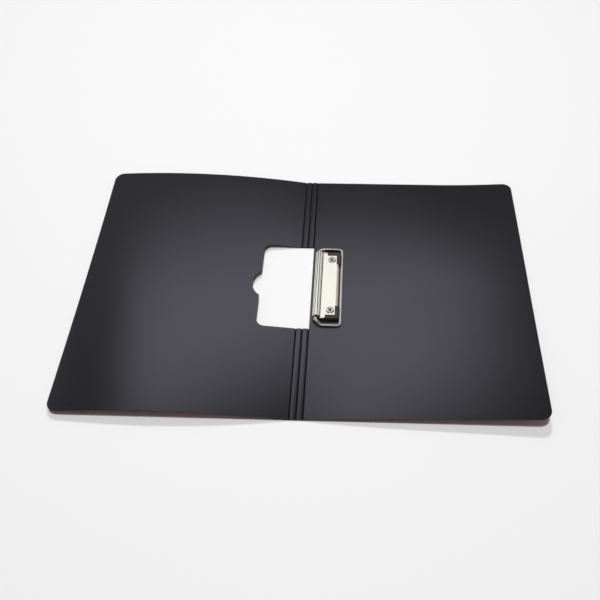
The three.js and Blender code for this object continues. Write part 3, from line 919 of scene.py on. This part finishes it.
# an arm and a limb that wrap the jaw's corner, with a tongue under the field
def addGrip(name, side, node):
    low, high = coverTop + gripSet["footGap"], gripHigh.z
    inner, end = side * armInner, side * gripHigh.y
    grip = addSlab(name, limbStart, gripHigh.x, inner, end, low, high)
    editOn(grip)
    selectWhere(grip, "faces", lambda p, f: meets(p.x, limbStart))
    bpy.ops.mesh.extrude_region_move(TRANSFORM_OT_translate={"value": (armStart - limbStart, 0, 0)})
    selectWhere(grip, "faces", lambda p, f: p.x > limbStart and meets(p.y, inner))
    bpy.ops.mesh.extrude_region_move(TRANSFORM_OT_translate={"value": (0, side * (limbInner - armInner), 0)})
    selectWhere(grip, "edges", lambda p, e: meets(p.x, gripHigh.x) and meets(p.y, end))
    bpy.ops.mesh.bevel(offset=gripSet["corner"], segments=gripSet["cornerSteps"], affect="EDGES")
    editOff()
    inset, root = gripSet["tongueInset"], gripSet["tongueRoot"]
    joinOn(grip, addSlab("tongue", armStart + inset, limbStart + root,
                         side * (limbInner + inset), side * (armInner + root),
                         fieldBottom - gripSet["tongue"], fieldBottom))
    cutRivetHole(grip, side)
    softenEdges(grip, gripSet["edgeSoftness"], segments=3, angle=40)
    smoothByAngle(grip, angle=45)
    finishPiece(grip, "jaw", "rubber", gripRubber, node)


# Hollow rivets: a crowned head, a shank and a rolled tail, made from a post by inset and extrude

rivetSet = {
    "headRadius": 4.2 * mm,
    "tailRadius": 3.0 * mm,
    "hole": 1.2 * mm,
    "shank": 2.0 * mm,
    "rim": 0.3 * mm,
    "crown": 0.35 * mm,
    "tail": 0.4 * mm,
    "softness": 0.1 * mm,
}


def addGripRivet(name, side, node):
    x, y = rivetPlace[0], side * rivetPlace[1]
    headRadius, tailRadius = rivetSet["headRadius"], rivetSet["tailRadius"]
    hole, shank = rivetSet["hole"], rivetSet["shank"]
    seat, tailTop = fieldTop, fieldBottom - gripSet["tongue"]
    rimTop = seat + rivetSet["rim"]
    rivet = addPost(name, headRadius, x, y, seat, rimTop)

    # the end faces are the only ones with more than four corners
    def pickEnd(height):
        selectWhere(rivet, "faces", lambda p, f: meets(p.z, height) and len(f.verts) > 4)

    editOn(rivet)
    pickEnd(rimTop)
    crownWidth = (headRadius - shank) / 2
    bpy.ops.mesh.inset(thickness=crownWidth)
    bpy.ops.transform.translate(value=(0, 0, rivetSet["crown"]))
    bpy.ops.mesh.inset(thickness=headRadius - crownWidth - shank)
    bpy.ops.mesh.inset(thickness=shank - hole)
    bpy.ops.transform.translate(value=(0, 0, -rivetSet["crown"]))
    bpy.ops.mesh.delete(type="FACE")
    pickEnd(seat)
    bpy.ops.mesh.inset(thickness=headRadius - shank)
    bpy.ops.mesh.extrude_region_move(TRANSFORM_OT_translate={"value": (0, 0, tailTop - seat)})
    bpy.ops.transform.resize(value=(tailRadius / shank, tailRadius / shank, 1),
                             center_override=(x, y, tailTop))
    bpy.ops.mesh.extrude_region_move(TRANSFORM_OT_translate={"value": (0, 0, -rivetSet["tail"])})
    bpy.ops.mesh.inset(thickness=tailRadius - hole)
    bpy.ops.mesh.delete(type="FACE")
    selectWhere(rivet, "edges", lambda p, e: e.is_boundary)
    bpy.ops.mesh.bridge_edge_loops()
    bpy.ops.mesh.select_all(action="SELECT")
    bpy.ops.mesh.normals_make_consistent(inside=False)
    editOff()
    softenEdges(rivet, rivetSet["softness"], angle=30)
    smoothByAngle(rivet, angle=40)
    finishPiece(rivet, "jaw", "nickel", nickelPlate, node)


addJaw()
for end, side in (("far", 1), ("near", -1)):
    addGrip("grip." + end, side, "grip_" + end)
    addGripRivet("gripRivet." + end, side, "grip_rivet_" + end)
print("jaw, rubber corners and rivets are made")


# Wire bail: a round section run and spun round half of the loop, then mirrored

bailSet = {
    "radius": 1.2 * mm,
    "sides": 20,
    "half": 50 * mm,
    "reach": 24 * mm,
    "shoulder": 5.5 * mm,
    "shoulderDrop": 4 * mm,
    "shoulderSink": 2.9 * mm,
    "barSink": 3.3 * mm,
    "endGap": 4 * mm,
    "corner": 4 * mm,
    "shoulderRadius": 3 * mm,
    "bendStep": 7,                 # degrees
    "fewestBendSteps": 4,
    "mirrorMerge": 0.01 * mm,
    "merge": 0.005 * mm,
    "endSoftness": 0.2 * mm,
}


def addBail():
    half, reach = bailSet["half"], bailSet["reach"]
    corners = [
        (Vector((0, half - bailSet["shoulderDrop"], 0)), bailSet["shoulderRadius"]),
        (Vector((bailSet["shoulder"], half, -bailSet["shoulderSink"])), bailSet["shoulderRadius"]),
        (Vector((reach, half, -bailSet["barSink"])), bailSet["corner"]),
    ]
    start = Vector((0, bailSet["endGap"] / 2, 0))
    deselectAll()
    bpy.ops.mesh.primitive_circle_add(vertices=bailSet["sides"], radius=bailSet["radius"], fill_type="NGON",
                                      location=start, rotation=(pi / 2, 0, 0))
    bail = settle(bpy.context.active_object)
    bail.name = "wireBail"
    editOn(bail)
    bpy.ops.mesh.select_all(action="SELECT")
    here = start
    stops = [corner for corner, radius in corners] + [Vector((reach, 0, -bailSet["barSink"]))]
    for i, (corner, radius) in enumerate(corners):
        into = (corner - here).normalized()
        out = (stops[i + 1] - corner).normalized()
        turn = into.angle(out)
        setBack = radius * tan(turn / 2)
        pin = into.cross(out).normalized()
        run = (corner - here).length - setBack
        bpy.ops.mesh.extrude_region_move(TRANSFORM_OT_translate={"value": into * run})
        here = here + into * run
        steps = max(bailSet["fewestBendSteps"], round(degrees(turn) / bailSet["bendStep"]))
        bpy.ops.mesh.spin(steps=steps, angle=-turn, center=here + pin.cross(into) * radius, axis=pin)
        here = corner + out * setBack
    bpy.ops.mesh.extrude_region_move(TRANSFORM_OT_translate={"value": (0, -here.y, 0)})
    bpy.ops.mesh.delete(type="FACE")
    editOff()
    applyModifier(bail, "MIRROR", use_axis=(False, True, False), use_clip=True,
                  merge_threshold=bailSet["mirrorMerge"])
    editOn(bail)
    bpy.ops.mesh.select_all(action="SELECT")
    bpy.ops.mesh.remove_doubles(threshold=bailSet["merge"])
    bpy.ops.mesh.normals_make_consistent(inside=False)
    editOff()
    softenEdges(bail, bailSet["endSoftness"], angle=60)
    bail.location = (axis["x"], 0, axis["z"])
    settle(bail)
    smoothByAngle(bail, angle=50)
    finishPiece(bail, "bail", "nickel", nickelPlate, "wire_bail")


addBail()
print("bail is bent")


# Nodes that keep their CAD shape, each with the finish of the real piece

def dressNode(name, material):
    node = frame["nodes"][name]
    for slot in node.material_slots:
        slot.material = material
    if not node.material_slots:
        node.data.materials.append(material)


for name in ("clip_base", "base_rivet_far", "base_rivet_near"):
    dressNode(name, nickelPlate)
dressNode("torsion_spring", springSteel)


# Table

tableSet = {
    "size": 6.0,
    "drop": 0.05 * mm,             # just under the folder
    "color": (0.90, 0.90, 0.90, 1),
    "roughness": 0.35,
    "specular": 0.35,
}


def addTable():
    deselectAll()
    bpy.ops.mesh.primitive_plane_add(size=tableSet["size"], location=(0, 0, -tableSet["drop"]))
    table = settle(bpy.context.active_object)
    table.name = "table"
    material, nodes, links, shader = newMaterial("paleTable")
    shader.inputs["Base Color"].default_value = tableSet["color"]
    shader.inputs["Roughness"].default_value = tableSet["roughness"]
    shader.inputs["Specular IOR Level"].default_value = tableSet["specular"]
    table.data.materials.append(material)


addTable()
